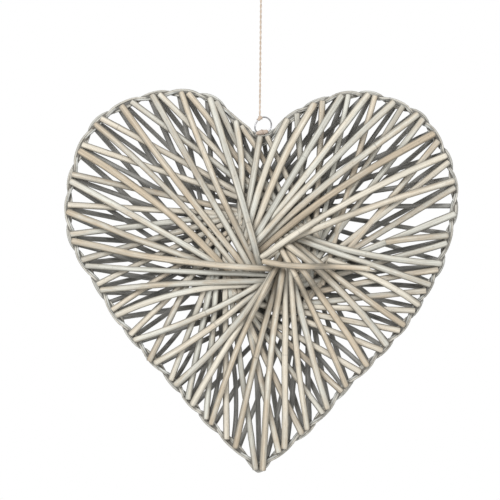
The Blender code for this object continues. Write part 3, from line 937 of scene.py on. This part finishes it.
def side_by_side(route, phase):
    """Two lines beside each other along a closed route, which roll a little as they go."""
    ahead = np.roll(route, -1, axis=0) - np.roll(route, 1, axis=0)
    aside = each_unit(np.cross(ahead, (0.0, 1.0, 0.0)))
    over = each_unit(np.cross(aside, ahead))
    turn = np.linspace(0, FULL_TURN, len(route), endpoint=False)
    slow, quick = STRIP_ROLL_WAVES
    waves = np.sin(turn * slow + phase) + STRIP_SECOND_ROLL * np.sin(turn * quick + 2 * phase)
    roll = STRIP_ROLL * waves[:, None]
    sway = STRIP_OFFSET * (aside * np.cos(roll) + over * np.sin(roll))
    return route + sway, route - sway


def make_border(core_material, strand_material):
    """The hoop as a thin dark core, and the two strands of split strips twined round it."""
    seeded = random.Random(DRAWS["border"])
    core = notch_sagged(smooth_line(HOOP, CORE_STEP, closed=True))
    line = Line(core, CORE_RADIUS, PATTERNS["core"], tone=0.4, tan=0.1, closed=True)
    lines = [uneven(line, seeded, CORE_UNEVENNESS)]
    rods_object("border_core", lines, core_material, ["hoop"], sides=10)
    pull = np.array((STRAND_PULL, 0.0, STRAND_PULL))
    for strand, tones in STRIP_TONES.items():
        stations, _ = centreline(f"border_strand_{strand}", closed=True, section=STRAND_SECTION)
        points = notch_sagged(smooth_line(stations, STRIP_STEP, closed=True))
        points = np.array([place + pull * (core[np.argmin(np.linalg.norm(core - place, axis=1))] - place)
                           for place in points])
        strips = []
        for strip, route in enumerate(side_by_side(points, strand)):
            seed = PATTERNS["strips"] + 2 * strand + strip
            line = Line(route, STRIP_RADIUS, seed, tone=tones[strip], closed=True)
            strips.append(uneven(line, seeded, STRIP_UNEVENNESS))
        rods_object(f"border_twined_{strand}", strips, strand_material,
                    [f"border_strand_{strand}"], sides=10, ridge=ROUGH_RIDGE)


def make_notch_wrap(material):
    """The bark wound round the strand at the notch, thickest at its middle, with one loose strip over it."""
    low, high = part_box("notch_binding")
    middle = np.array((low + high) / 2) + WRAP_SHIFT
    half = (high.x - low.x) / 2
    body = (high.z - low.z) / 2

    def thickness(u):
        return body * (WRAP_ENDS + WRAP_SWELL * (1 - u**2))

    share = np.linspace(-1, 1, WRAP_STATIONS)
    places = [middle + np.array((half * u, 0, 0)) for u in share]
    lines = [Line(places, thickness(share) - WRAP_INSET, PATTERNS["wrap"], tone=0.6, tan=0.45)]
    strip = []
    for u in np.linspace(-1, 1, LOOSE_STATIONS):
        angle = (u + 1) / 2 * LOOSE_TURNS * FULL_TURN + LOOSE_START
        reach = thickness(u) - LOOSE_INSET
        wound = (half * LOOSE_WIDTH * u, reach * math.cos(angle), reach * math.sin(angle))
        strip.append(middle + np.array(wound))
    lines.append(Line(strip, LOOSE_RADIUS, PATTERNS["loose strip"], tone=0.2, tan=0.9))
    rods_object("notch_wrap", lines, material, ["notch_binding"], sides=24, ridge=ROUGH_RIDGE)


def ring_frame():
    """The ring's middle, the way across it, and the way that its flat side faces."""
    low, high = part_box("hanging_ring")
    middle = np.array((low + high) / 2) + RING_SHIFT
    across = np.array((math.cos(RING_TURN), math.sin(RING_TURN), 0))
    facing = np.array((-math.sin(RING_TURN), math.cos(RING_TURN), 0))
    return middle, across, facing


def make_ring(material):
    middle, across, _ = ring_frame()
    up = np.array((0, 0, 1))
    angles = np.linspace(0, FULL_TURN, RING_STATIONS, endpoint=False)
    points = [middle + RING_RADIUS * (across * math.cos(a) + up * math.sin(a)) for a in angles]
    line = Line(points, RING_WIRE / 2, PATTERNS["ring"], closed=True)
    rods_object("steel_ring", [line], material, ["hanging_ring"], ridge=0.0)


def twisted(route, offset, radius):
    """Plies that turn round the route once in each lay length."""
    route = np.asarray(route, dtype=float)
    ahead = each_unit(np.gradient(route, axis=0))
    aside = each_unit(np.cross(ahead, OFF_ROUTE))
    over = np.cross(ahead, aside)
    along = length_along(route)
    made = []
    for ply in range(PLIES):
        angle = (FULL_TURN * (along / TWINE_LAY + ply / PLIES))[:, None]
        ply_route = route + offset * (aside * np.cos(angle) + over * np.sin(angle))
        made.append(Line(ply_route, radius, PATTERNS["plies"] + ply))
    return made


def hitch_route(centre, across, facing):
    """Turns of twine round the ring's upper left."""
    tie = math.acos(-TWINE_SHIFT / RING_RADIUS)
    reach = RING_WIRE / 2 + HITCH_GAP
    route = []
    for i in range(HITCH_STEPS + 1):
        share = i / HITCH_STEPS
        along = tie + (0.5 - share) * HITCH_LENGTH / RING_RADIUS
        radial = across * math.cos(along) + np.array((0, 0, math.sin(along)))
        angle = share * HITCH_TURNS * FULL_TURN
        wound = reach * (facing * math.cos(angle) + radial * math.sin(angle))
        route.append(centre + RING_RADIUS * radial + wound)
    return route


def knot_route(middle, facing, tilt, size):
    """One turn of the knot at the twine's foot."""
    level = unit(np.array((math.cos(tilt), KNOT_LEAN, math.sin(tilt))))
    angles = [i / KNOT_STEPS * FULL_TURN for i in range(KNOT_STEPS + 1)]
    return [middle + size * (math.cos(angle) * level + math.sin(angle) * facing) for angle in angles]


def make_twine(material):
    """Twisted twine from the ring up to its loop, with the hitch round the ring and the knot above it."""
    twine_low, twine_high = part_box("twine")
    loop_low, loop_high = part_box("twine_loop")
    centre, across, facing = ring_frame()
    foot = centre - across * TWINE_SHIFT
    foot[2] = twine_low.z
    head = np.array((0, 0, twine_high.z))
    route = smooth_line([foot, (foot + head) / 2, head], TWINE_STEP)
    twine = rods_object("jute_twine", twisted(route, *TWINE_PLY), material, ["twine"], sides=10,
                        ridge=TWINE_RIDGE)
    loop_middle = np.array((0, 0, (loop_low.z + loop_high.z) / 2))
    tall = (loop_high.z - loop_low.z) / 2 - TWINE_DIAMETER / 2
    wide = (loop_high.x - loop_low.x) / 2 - TWINE_DIAMETER / 2
    loop_route = [loop_middle + np.array((wide * math.sin(a), 0, tall * math.cos(a)))
                  for a in np.linspace(0, FULL_TURN, LOOP_STATIONS)]
    loop = rods_object("jute_loop", twisted(loop_route, *TWINE_PLY), material, ["twine_loop"],
                       sides=10, ridge=TWINE_RIDGE)
    lines = twisted(hitch_route(centre, across, facing), *HITCH_PLY)
    knot_middle = foot + np.array((0, 0, KNOT_RISE))
    for tilt, size in KNOT_TURNS:
        lines += twisted(knot_route(knot_middle, facing, tilt, size), *KNOT_PLY)
    ties = rods_object("jute_hitch", lines, material, sides=8, ridge=TWINE_RIDGE)
    length = float(np.linalg.norm(head - foot))


def make_floor():
    half = FLOOR_HALF
    corners = [(x, y, FLOOR_LEVEL) for x, y in ((-half, -half), (half, -half), (half, half), (-half, half))]
    mesh = bpy.data.meshes.new("floor")
    mesh.from_pydata(corners, [], [(0, 1, 2, 3)])
    mesh.materials.append(pale_paint())
    floor = bpy.data.objects.new("floor", mesh)
    bpy.context.scene.collection.objects.link(floor)


def make_light():
    """White all round, which lights the wreath less than it shows behind it, and two soft lamps in front."""
    bpy.context.scene.view_settings.view_transform = "Standard"
    world = bpy.data.worlds.new("Studio")
    bpy.context.scene.world = world
    world.use_nodes = True
    nodes = world.node_tree.nodes
    links = world.node_tree.links
    background = nodes["Background"]
    background.inputs["Color"].default_value = (1, 1, 1, 1)
    seen = nodes.new("ShaderNodeLightPath")
    strength = nodes.new("ShaderNodeMapRange")
    strength.inputs["To Min"].default_value = AMBIENT
    strength.inputs["To Max"].default_value = 1.0
    links.new(seen.outputs["Is Camera Ray"], strength.inputs["Value"])
    links.new(strength.outputs["Result"], background.inputs["Strength"])
    for name, (place, width, power) in LAMPS.items():
        light = bpy.data.lights.new(name, "AREA")
        light.shape = "DISK"
        light.size = width
        light.energy = power
        lamp = bpy.data.objects.new(name, light)
        lamp.location = place
        lamp.rotation_euler = (Vector(LAMP_AIM) - Vector(place)).to_track_quat("-Z", "Y").to_euler()
        bpy.context.scene.collection.objects.link(lamp)


def make_camera():
    """A camera straight in front, its view half a metre wide: a millimetre to a pixel in a frame 500 pixels
    wide.
    """
    lens = bpy.data.cameras.new("Camera")
    lens.sensor_width = SENSOR_WIDTH
    lens.lens = SENSOR_WIDTH * CAMERA_DISTANCE / VIEW_WIDTH
    lens.clip_end = 50
    camera = bpy.data.objects.new("Camera", lens)
    camera.location = (VIEW_MIDDLE[0], -CAMERA_DISTANCE, VIEW_MIDDLE[1])
    camera.rotation_euler = (math.pi / 2, 0, 0)
    bpy.context.scene.collection.objects.link(camera)
    bpy.context.scene.camera = camera


make_floor()
make_light()
make_camera()
HOOP = hoop_by_binding_point()
ROD_TREE = rod_tree()

front_willow = willow_with_wash_and_painted_shade("Front willow")
make_front_rods(front_willow)
make_last_rod(front_willow)
make_under_rods(willow_with_wash_and_painted_shade("Under willow"))
make_back_rods(willow_with_wash_and_painted_shade("Back willow"))
make_border(willow_with_wash_and_painted_shade("Core willow"), willow_with_wash_and_painted_shade("Split willow"))
make_notch_wrap(willow_with_wash_and_painted_shade("Bark wrap"))
make_ring(drawn_steel())
make_twine(twisted_jute())
